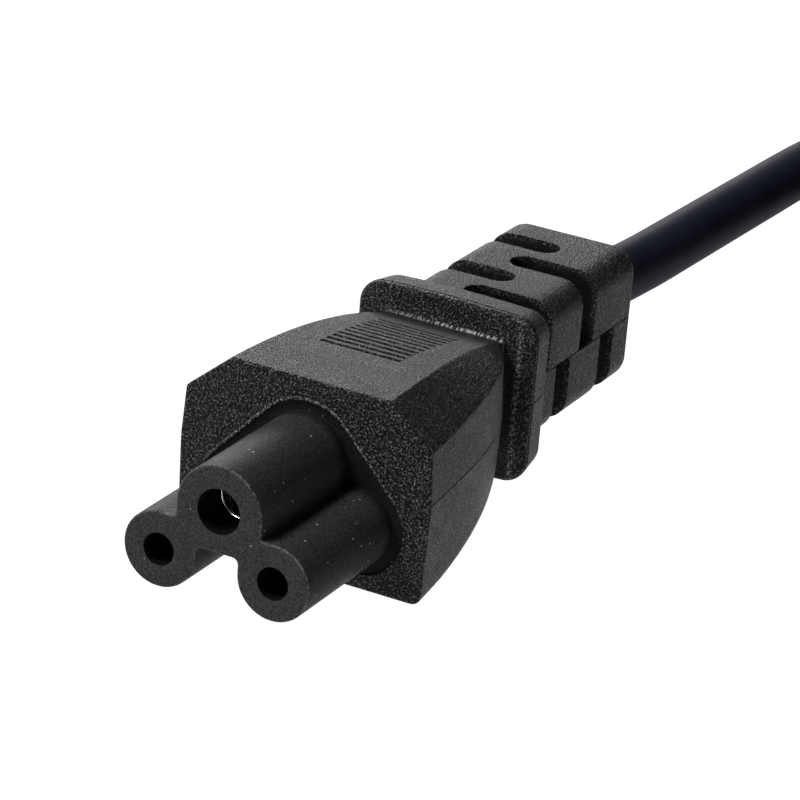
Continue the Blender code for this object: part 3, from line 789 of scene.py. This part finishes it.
def plug_stations():
    """Depth behind the plug's face, half width, half height and corner of its sections."""
    wide, tall, grip, corner = PLUG_HALF_WIDTH, PLUG_HALF_HEIGHT, PLUG_GRIP_HALF, PLUG_CORNER
    knots = [(PLUG_EDGE, wide, tall, corner),
             (0.22 * PLUG_LENGTH, wide, tall, corner),
             (0.45 * PLUG_LENGTH, grip, grip + 1, corner),
             (0.70 * PLUG_LENGTH, grip - 1, grip, corner),
             (PLUG_LENGTH - 2 * PLUG_EDGE, grip - 1, grip - 1, corner),
             (PLUG_LENGTH, PLUG_END_HALF, PLUG_END_HALF, PLUG_END_CORNER)]
    stations = [(depth, wide - inset, tall - inset, corner - inset * 0.5)
                for depth, inset in rounded_end(0.0, PLUG_EDGE, 1)]
    for (start, *before), (end, *after) in zip(knots, knots[1:]):
        steps = max(3, round((end - start) / PLUG_STATION_STEP))
        for i in range(1, steps + 1):
            t = i / steps
            stations.append((mix(start, end, t), *(mix(p, q, smoothstep(t)) for p, q in zip(before, after))))
    return stations


def grip_dent(depth):
    """How far the finger grip's ridges dip at a depth behind the plug's face."""
    place = (depth - GRIP_FIRST) / GRIP_PITCH
    if not 0 <= place <= GRIP_RIDGES:
        return 0.0
    return GRIP_DEPTH * math.sin(math.pi * (place % 1)) ** 2


def plug_relief_stations():
    """Depth and half width of the plug's tapered relief, with a slot after each of its segments."""
    pitch = PLUG_RELIEF_LENGTH / (PLUG_RELIEF_SLOTS + PLUG_RELIEF_LEAD)
    end = PLUG_LENGTH + PLUG_RELIEF_LENGTH
    stations = []
    for i in range(PLUG_RELIEF_SLOTS):
        for offset, inset in ((0, 0.0), (0.05, PLUG_SLOT_DEPTH), (0.4, PLUG_SLOT_DEPTH), (0.45, 0.0)):
            depth = PLUG_LENGTH + pitch * (i + PLUG_RELIEF_LEAD + offset)
            share = (depth - PLUG_LENGTH) / PLUG_RELIEF_LENGTH
            stations.append((depth, mix(PLUG_END_HALF, PLUG_CORD_HALF, share) - inset))
    return stations + [(end - PLUG_CORD_EDGE, PLUG_CORD_HALF), (end, PLUG_CORD_HALF - PLUG_CORD_EDGE)]


def plug_piece():
    """The plug's moulding with its grip and relief, and a shallow pocket round each blade and the pin."""
    rings = [ring_at(plug_outline(width - grip_dent(depth), height, corner), PLUG_FACE_Y + depth)
             for depth, width, height, corner in plug_stations()]
    rings += [ring_at(plug_outline(half, half, half * PLUG_RELIEF_ROUNDNESS), PLUG_FACE_Y + depth)
              for depth, half in plug_relief_stations()]
    plug = object_from("plug_moulding", skin(rings))
    gap, depths = PIN_POCKET_GAP, (PLUG_FACE_Y - 1, PLUG_FACE_Y + PIN_POCKET_DEPTH)
    for name, low, high in blade_boxes():
        left, bottom, right, top = low[0] - gap, low[2] - gap, high[0] + gap, high[2] + gap
        outline = [(left, bottom), (right, bottom), (right, top), (left, top)]
        cut(plug, object_from(f"{name}_pocket", skin([ring_at(outline, y) for y in depths])))
    profile = [(y, EARTH_PIN_RADIUS + gap) for y in depths]
    cut(plug, object_from("pin_pocket", turned(pin_centre(), profile)))
    return plug


def blade_boxes():
    """Name, lowest and highest corner of each flat blade."""
    z = PLUG_HALF_HEIGHT + BLADE_RISE
    for name, side in (("plug_blade_line", 1), ("plug_blade_neutral", -1)):
        x = PLUG_X + side * BLADE_SPACING / 2
        yield (name, (x - BLADE_THICKNESS / 2, PLUG_FACE_Y - BLADE_LENGTH, z - BLADE_WIDTH / 2),
               (x + BLADE_THICKNESS / 2, PLUG_FACE_Y + BLADE_ROOT, z + BLADE_WIDTH / 2))


def pin_centre():
    return (PLUG_X, PLUG_HALF_HEIGHT + BLADE_RISE - EARTH_PIN_DROP)


def blade_piece(name, low, high):
    """A folded blade with a tapered tip and its round hole."""
    bottom, top, tip, root = low[2], high[2], low[1], high[1]
    side = [(tip, bottom + BLADE_TAPER), (tip + BLADE_TAPER, bottom), (root, bottom), (root, top),
            (tip + BLADE_TAPER, top), (tip, top - BLADE_TAPER)]
    hole = circle((tip + BLADE_HOLE_FROM_TIP, (bottom + top) / 2), BLADE_HOLE_RADIUS, 40)
    blade = object_from(f"{name}_metal", skin([[(x, y, z) for y, z in side] for x in (low[0], high[0])]))
    through = skin([[(x, y, z) for y, z in hole] for x in (low[0] - 1, high[0] + 1)])
    cut(blade, object_from("blade_hole", through))
    bevel(blade, BLADE_BEVEL, 3)
    return blade


def pin_piece():
    """The round earth pin, with a blunt tip."""
    tip = PLUG_FACE_Y - EARTH_PIN_LENGTH
    steps = 8
    profile = []
    for i in range(steps + 1):
        a = math.pi / 2 * i / steps
        radius = PIN_TIP_RADIUS + (EARTH_PIN_RADIUS - PIN_TIP_RADIUS) * math.sin(a) ** PIN_TIP_POWER
        profile.append((tip + PIN_TIP_LENGTH * (1 - math.cos(a)), radius))
    profile.append((PLUG_FACE_Y + BLADE_ROOT, EARTH_PIN_RADIUS))
    return object_from("plug_pin_metal", turned(pin_centre(), profile, 48))


# Materials

class Look:
    """A node material with short calls for the nodes used here. Places and sizes are in millimetres."""

    def __init__(self, name):
        self.material = bpy.data.materials.new(name)
        self.material.use_nodes = True
        self.nodes = self.material.node_tree.nodes
        self.links = self.material.node_tree.links
        self.shader = self.nodes["Principled BSDF"]
        self.coords = self.nodes.new("ShaderNodeTexCoord").outputs["Object"]

    def connect(self, socket, value):
        """Links a socket to another, or sets its number, vector or colour."""
        if hasattr(value, "is_linked"):
            self.links.new(value, socket)
        elif socket.type == "RGBA":
            socket.default_value = (*value, 1)
        else:
            socket.default_value = value

    def put(self, kind, values, **settings):
        """Adds a node with its settings and inputs."""
        node = self.nodes.new(kind)
        for key, value in settings.items():
            setattr(node, key, value)
        for key, value in values.items():
            self.connect(node.inputs[key], value)
        return node

    def split(self):
        """The x, y and z of a point on the piece."""
        outputs = self.put("ShaderNodeSeparateXYZ", {"Vector": self.coords}).outputs
        return outputs["X"], outputs["Y"], outputs["Z"]

    def noise(self, size, detail=2.0, rough=0.5, vector=None):
        values = {"Vector": vector or self.coords, "Scale": 1 / (size * MM), "Detail": detail,
                  "Roughness": rough}
        return self.put("ShaderNodeTexNoise", values).outputs["Fac"]

    def cells(self, size, output):
        values = {"Vector": self.coords, "Scale": 1 / (size * MM)}
        return self.put("ShaderNodeTexVoronoi", values).outputs[output]

    def span(self, value, low, high, to_low=0.0, to_high=1.0):
        """Maps a value from one range to another and keeps it there."""
        values = {"Value": value, "From Min": low, "From Max": high, "To Min": to_low, "To Max": to_high}
        return self.put("ShaderNodeMapRange", values).outputs["Result"]

    def spread(self, noise, low=0.0, high=1.0):
        """Maps the middle of a noise's range, where most of it lies."""
        return self.span(noise, 0.3, 0.7, low, high)

    def ramp(self, value, low, high, to_low=0.0, to_high=1.0):
        """Maps a coordinate or distance between two places."""
        return self.span(value, low * MM, high * MM, to_low, to_high)

    def calc(self, operation, a, b=0.0):
        return self.put("ShaderNodeMath", {0: a, 1: b}, operation=operation).outputs[0]

    def product(self, first, *others):
        for other in others:
            first = self.calc("MULTIPLY", first, other)
        return first

    def away(self, value, place):
        """How far a coordinate is from a place."""
        return self.calc("ABSOLUTE", self.calc("SUBTRACT", value, place * MM))

    def blend(self, share, low, high):
        """A colour between two, by share."""
        return self.put("ShaderNodeMix", {0: share, 6: low, 7: high}, data_type="RGBA").outputs[2]

    def bump(self, height, depth):
        return self.put("ShaderNodeBump", {"Height": height, "Distance": depth * MM}).outputs["Normal"]

    def finish(self, colour, roughness, normal=None, **others):
        """Sets the shader and returns the material."""
        self.connect(self.shader.inputs["Base Color"], colour)
        self.connect(self.shader.inputs["Roughness"], roughness)
        if normal is not None:
            self.connect(self.shader.inputs["Normal"], normal)
        for key, value in others.items():
            self.connect(self.shader.inputs[key.replace("_", " ")], value)
        return self.material


# Looks: colours are linear, pattern sizes and bump depths are in millimetres
GRAIN_SIZE = 0.175
GRAIN_DARK = (0.004, 0.004, 0.0042)
# Pale end of the grain's specks: painted highlights off the grain
GRAIN_HIGHLIGHT_PALE = (0.2, 0.2, 0.201)
GRAIN_BUMP = 0.24
STRIP_SHARE = 0.85
STRIP_COLOUR = (0.02, 0.02, 0.0203)
# Painted highlight along the flange's foot
FOOT_HIGHLIGHT_COLOUR = (0.38, 0.38, 0.38)
# Painted shade inside the strain relief's slots
SLOT_SHADE_SHARE = 0.9
SLOT_SHADE_COLOUR = (0.003, 0.003, 0.003)
# Painted shade in the hollow between the body's neck and the flange
HOLLOW_SHADE_SHARE = 0.8
HOLLOW_SHADE_COLOUR = (0.009, 0.009, 0.009)
# Painted glints on the collar's bead and down the flange's right side
EDGE_GLINT_SIZE = 0.2
EDGE_GLINT_COLOUR = (0.2, 0.2, 0.2)
UPPER_FROM = PARTING_Z + 4.0
UPPER_FULL = PARTING_Z + 4.4
FLANGE_EDGE_X = 6.9
INSERT_DARK = (0.013, 0.013, 0.0132)
INSERT_PALE = (0.043, 0.043, 0.0433)
RIM_COLOUR = (0.11, 0.11, 0.11)
DUST_CELL = 0.7
DUST_COLOUR = (0.45, 0.45, 0.45)
# Painted shade in the sockets and round the nose's root by the collar
ROOT_SHADE_SHARE = 0.8
SOCKET_AND_ROOT_SHADE = (0.004, 0.004, 0.004)
JACKET_DARK = (0.0085, 0.0095, 0.0165)
JACKET_PALE = (0.0125, 0.0135, 0.0235)
STRAP_DARK = (0.006, 0.006, 0.0065)
STRAP_PALE = (0.024, 0.024, 0.0245)
WEAVE_SIZE = 3.2
CONTACT_COLOUR = (0.86, 0.84, 0.80)
BLADE_COLOUR = (0.80, 0.75, 0.62)
FLOOR_COLOUR = (0.04, 0.04, 0.04)
FLOOR_GLOW = 1.01
WORLD_STRENGTH = 0.06


def strip_mask(look, y, z):
    """1 on the smooth strip of the body's top between the ribs and the flange, 0 elsewhere."""
    begins = look.ramp(y, RIBS_END_Y + 0.3, RIBS_END_Y + 1.0)
    ends = look.ramp(y, FLANGE_Y - 0.6, FLANGE_Y - 0.3, 1.0, 0.0)
    return look.product(begins, ends, look.ramp(z, UPPER_FROM, UPPER_FULL))


def foot_highlight_streaks(look, x, y, z):
    """1 on the painted highlight along the flange's foot, broken into short pale streaks and stronger
    towards the right, 0 elsewhere.
    """
    near = look.ramp(look.away(y, FLANGE_Y - 0.42), 0.1, 0.24, 1.0, 0.0)
    # The painted highlight grows stronger towards the right
    rightward = look.ramp(x, -6, 3, 0.3, 1.0)
    squeeze = {"Vector": look.coords, "Scale": (1, 0.25, 0.25)}
    squeezed = look.put("ShaderNodeMapping", squeeze).outputs["Vector"]
    teeth = look.span(look.noise(0.2, 1.0, 0.5, squeezed), 0.47, 0.6)
    return look.product(near, look.ramp(z, UPPER_FROM, UPPER_FULL), teeth, rightward)


def slot_shade_mask(look, x, y, z):
    """1 inside the strain relief's slots, where their darkness is painted shade, 0 on its outer surface and
    elsewhere.
    """
    squares = []
    for value, middle, half in ((x, 0.0, RELIEF_HALF_WIDTH), (z, PARTING_Z, RELIEF_HALF_HEIGHT)):
        past = look.calc("SUBTRACT", look.away(value, middle), (half - RELIEF_CORNER) * MM)
        past = look.calc("MAXIMUM", past, 0.0)
        squares.append(look.product(past, past))
    outward = look.calc("SQRT", look.calc("ADD", *squares))
    deep = look.ramp(outward, RELIEF_CORNER - 0.6, RELIEF_CORNER - 0.2, 1.0, 0.0)
    begins = look.calc("GREATER_THAN", y, (RELIEF_Y + 0.1) * MM)
    ends = look.calc("LESS_THAN", y, (END_Y - 0.7) * MM)
    return look.product(deep, begins, ends)


def hollow_shade_mask(look, x, y, z):
    """Most of 1 on the smooth hollow between the body's neck and the flange's sides, where its darkness is
    painted shade, 0 elsewhere.
    """
    across = look.ramp(look.away(x, 0.0), 6.4, 6.8, HOLLOW_SHADE_SHARE, 0.0)
    begins = look.ramp(y, FLANGE_Y - 0.9, FLANGE_Y - 0.4)
    ends = look.calc("LESS_THAN", y, (FLANGE_Y + 0.2) * MM)
    below = look.ramp(z, PARTING_Z + 3.0, UPPER_FULL, 1.0, 0.0)
    return look.product(across, below, begins, ends)


def edge_highlight_mask(look, x, y, z):
    """Where painted highlights go: 1 on the bead round the collar, less on a line down the flange's right
    side, 0 elsewhere.
    """
    bead = look.ramp(y, FACE_Y - 0.06, FACE_Y - 0.02, 1.0, 0.0)
    # The bead's painted highlight fades out towards its bottom
    bead = look.product(bead, look.ramp(z, PARTING_Z - 2, PARTING_Z + 3))
    line = look.ramp(look.away(x, FLANGE_EDGE_X), 0.1, 0.35, 0.9, 0.0)
    line = look.product(line, look.calc("LESS_THAN", look.away(y, FLANGE_Y), 0.3 * MM))
    return look.calc("MAXIMUM", bead, line)


def connector_details(look, colour, height):
    """The moulding's colour and height with the marks that only the connector has: a smooth strip, painted
    highlights and painted shade.
    """
    x, y, z = look.split()
    smooth = look.product(strip_mask(look, y, z), STRIP_SHARE)
    height = look.product(height, look.calc("SUBTRACT", 1.0, smooth))
    colour = look.blend(smooth, colour, STRIP_COLOUR)
    # Painted highlight: pale streaks along the flange's foot
    colour = look.blend(foot_highlight_streaks(look, x, y, z), colour, FOOT_HIGHLIGHT_COLOUR)
    # Painted shade: the slots darkened inside
    colour = look.blend(look.product(slot_shade_mask(look, x, y, z), SLOT_SHADE_SHARE), colour, SLOT_SHADE_COLOUR)
    # Painted shade: the hollow by the flange darkened
    colour = look.blend(hollow_shade_mask(look, x, y, z), colour, HOLLOW_SHADE_COLOUR)
    # Painted highlights: pale dots along the collar's bead and the flange's side
    glint_dots = look.span(look.noise(EDGE_GLINT_SIZE, 1.0, 0.5), 0.5, 0.62)
    colour = look.blend(look.product(edge_highlight_mask(look, x, y, z), glint_dots), colour, EDGE_GLINT_COLOUR)
    return colour, height


def moulding_look(name, connector):
    """Black PVC with a fine spark-eroded grain in its bump: dark, with small pale specks painted in as
    highlights off the grain.
    """
    look = Look(name)
    grain = look.noise(GRAIN_SIZE, 1.8, 0.6)
    patches = look.noise(1.6, 3.0, 0.6)
    # Pale specks painted into the colour as highlights off the grain's facets
    glint_speck = look.span(grain, 0.44, 0.74)
    colour, height = look.blend(look.product(glint_speck, glint_speck), GRAIN_DARK, GRAIN_HIGHLIGHT_PALE), grain
    if connector:
        colour, height = connector_details(look, colour, height)
    roughness = look.spread(patches, 0.34, 0.44)
    return look.finish(colour, roughness, look.bump(height, GRAIN_BUMP), Specular_IOR_Level=0.06)


def socket_shade_mask(look, x, z):
    """1 on the walls of the three sockets, where their darkness is painted shade, 0 elsewhere."""
    mask = 0.0
    for socket in socket_list():
        across = look.calc("SUBTRACT", x, socket.centre[0] * MM)
        upward = look.calc("SUBTRACT", z, socket.centre[1] * MM)
        square = look.calc("ADD", look.product(across, across), look.product(upward, upward))
        inside = look.calc("LESS_THAN", look.calc("SQRT", square), (socket.radius + 0.06) * MM)
        mask = look.calc("MAXIMUM", inside, mask)
    return mask


def insert_look():
    """Smooth satin black: mottled, with a broken pale line round its front edge and a few specks of dust;
    the darkness in its sockets and round the nose's root is painted shade.
    """
    look = Look("black_insert")
    x, y, z = look.split()
    fine = look.noise(0.17, 2.0, 0.6)
    soft = look.noise(1.2)
    colour = look.blend(look.span(fine, 0.32, 0.68), INSERT_DARK, INSERT_PALE)
    rim = look.ramp(look.away(y, NOSE_Y + 0.1), 0.05, 0.1, 1.0, 0.0)
    broken = look.span(look.noise(0.5, 3.0, 0.7), 0.42, 0.62)
    colour = look.blend(look.product(rim, broken), colour, RIM_COLOUR)
    chosen = look.span(look.cells(DUST_CELL, "Color"), 0.64, 0.66)
    dust = look.product(look.span(look.cells(DUST_CELL, "Distance"), 0.07, 0.12, 1.0, 0.0), chosen)
    colour = look.blend(dust, colour, DUST_COLOUR)
    # Painted shade: darker towards the nose's root and the collar, and on the sockets' walls
    root_shade = look.ramp(y, FACE_Y - 1.2, FACE_Y - 0.1, 0.0, ROOT_SHADE_SHARE)
    colour = look.blend(look.calc("MAXIMUM", socket_shade_mask(look, x, z), root_shade), colour, SOCKET_AND_ROOT_SHADE)
    roughness = look.spread(soft, 0.46, 0.54)
    return look.finish(colour, roughness, look.bump(fine, 0.05), Specular_IOR_Level=0.03)


def jacket_look():
    """Bluish black satin jacket with a faint waviness."""
    look = Look("cord_jacket")
    fine = look.noise(0.35)
    wave = look.noise(3.5)
    height = look.calc("ADD", look.product(fine, 0.25), wave)
    colour = look.blend(look.spread(wave), JACKET_DARK, JACKET_PALE)
    roughness = look.spread(fine, 0.46, 0.54)
    return look.finish(colour, roughness, look.bump(height, 0.02), Specular_IOR_Level=0.016)


def metal_look(name, colour, dull):
    """Plated metal with soft duller patches, dull being their share of its colour."""
    look = Look(name)
    fine = look.noise(0.15, 2.0, 0.6)
    soft = look.noise(1.5)
    tone = look.blend(look.spread(soft), tuple(c * dull for c in colour), colour)
    roughness = look.spread(soft, 0.16, 0.26)
    return look.finish(tone, roughness, look.bump(fine, 0.002), Metallic=1.0)


def strap_look():
    """Matte woven strap."""
    look = Look("tie_strap")
    values = {"Vector": look.coords, "Scale": 1 / (WEAVE_SIZE * MM), "Distortion": 0.6, "Detail": 1.0}
    weave = look.put("ShaderNodeTexWave", values, bands_direction="DIAGONAL").outputs["Fac"]
    fuzz = look.noise(0.2, 3.0, 0.7)
    colour = look.blend(fuzz, STRAP_DARK, STRAP_PALE)
    height = look.calc("ADD", weave, look.product(fuzz, 0.6))
    return look.finish(colour, 0.9, look.bump(height, 0.12), Sheen_Weight=0.08, Specular_IOR_Level=0.15)


# Floor and light

def make_floor():
    """A white floor that glows a little, just under the object."""
    look = Look("floor_white")
    look.finish(FLOOR_COLOUR, 0.9, Emission_Color=(1, 1, 1), Emission_Strength=FLOOR_GLOW)
    half, z = 3.0, -0.00001
    corners = [(-half, -half, z), (half, -half, z), (half, half, z), (-half, half, z)]
    mesh = bpy.data.meshes.new("floor")
    mesh.from_pydata(corners, [], [(0, 1, 2, 3)])
    floor = add_object("floor", mesh)
    floor.data.materials.append(look.material)


def make_world():
    world = bpy.data.worlds.new("studio")
    world.use_nodes = True
    background = world.node_tree.nodes["Background"]
    background.inputs["Color"].default_value = (1, 1, 1, 1)
    background.inputs["Strength"].default_value = WORLD_STRENGTH
    bpy.context.scene.world = world


def soft_light(name, place, aim, size, watts):
    """A rectangular lamp, its place, aim and size in metres."""
    data = bpy.data.lights.new(name, "AREA")
    data.shape = "RECTANGLE"
    data.size, data.size_y = size
    data.energy = watts
    light = add_object(name, data)
    light.location = place
    light.rotation_euler = (Vector(aim) - Vector(place)).to_track_quat("-Z", "Y").to_euler()


def make_lights():
    soft_light("front_top", place=(-0.36, -0.32, 0.72), aim=(0, 0, 0), size=(0.2, 0.2), watts=8.0)
    soft_light("back_left", place=(-0.68, 0.83, 0.44), aim=(0, 0, 0.02), size=(0.6, 0.5), watts=12.0)
    soft_light("front_left", place=(-0.26, -0.87, 0.27), aim=(0, -0.03, 0.01), size=(0.2, 0.2), watts=2.5)


# The whole object

def make_connector():
    dress(moulding_piece(), moulding_look("black_moulding", True), ["connector_body"])
    dress(nose_piece(), insert_look(), ["connector_nose"])
    metal = metal_look("contact_metal", CONTACT_COLOUR, 0.9)
    for socket in socket_list():
        dress(contact_piece(socket), metal, [f"contact_{socket.name}"])


def make_plug():
    """The plug's moulding, blades and pin, as a list."""
    pieces = [dress(plug_piece(), moulding_look("plug_moulding", False), ["plug_body"])]
    metal = metal_look("blade_metal", BLADE_COLOUR, 0.85)
    for name, low, high in blade_boxes():
        pieces.append(dress(blade_piece(name, low, high), metal, [name]))
    pieces.append(dress(pin_piece(), metal, ["plug_pin_earth"]))
    return pieces


def main():
    bpy.context.scene.view_settings.view_transform = "Standard"
    make_camera()
    cord = dress(cord_piece(), jacket_look(), ["cord_lead", "cord_coil", "cord_tail"])
    make_connector()
    tie = dress(tie_piece(), strap_look(), ["cord_tie"])
    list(make_plug())
    make_floor()
    make_world()
    make_lights()


main()
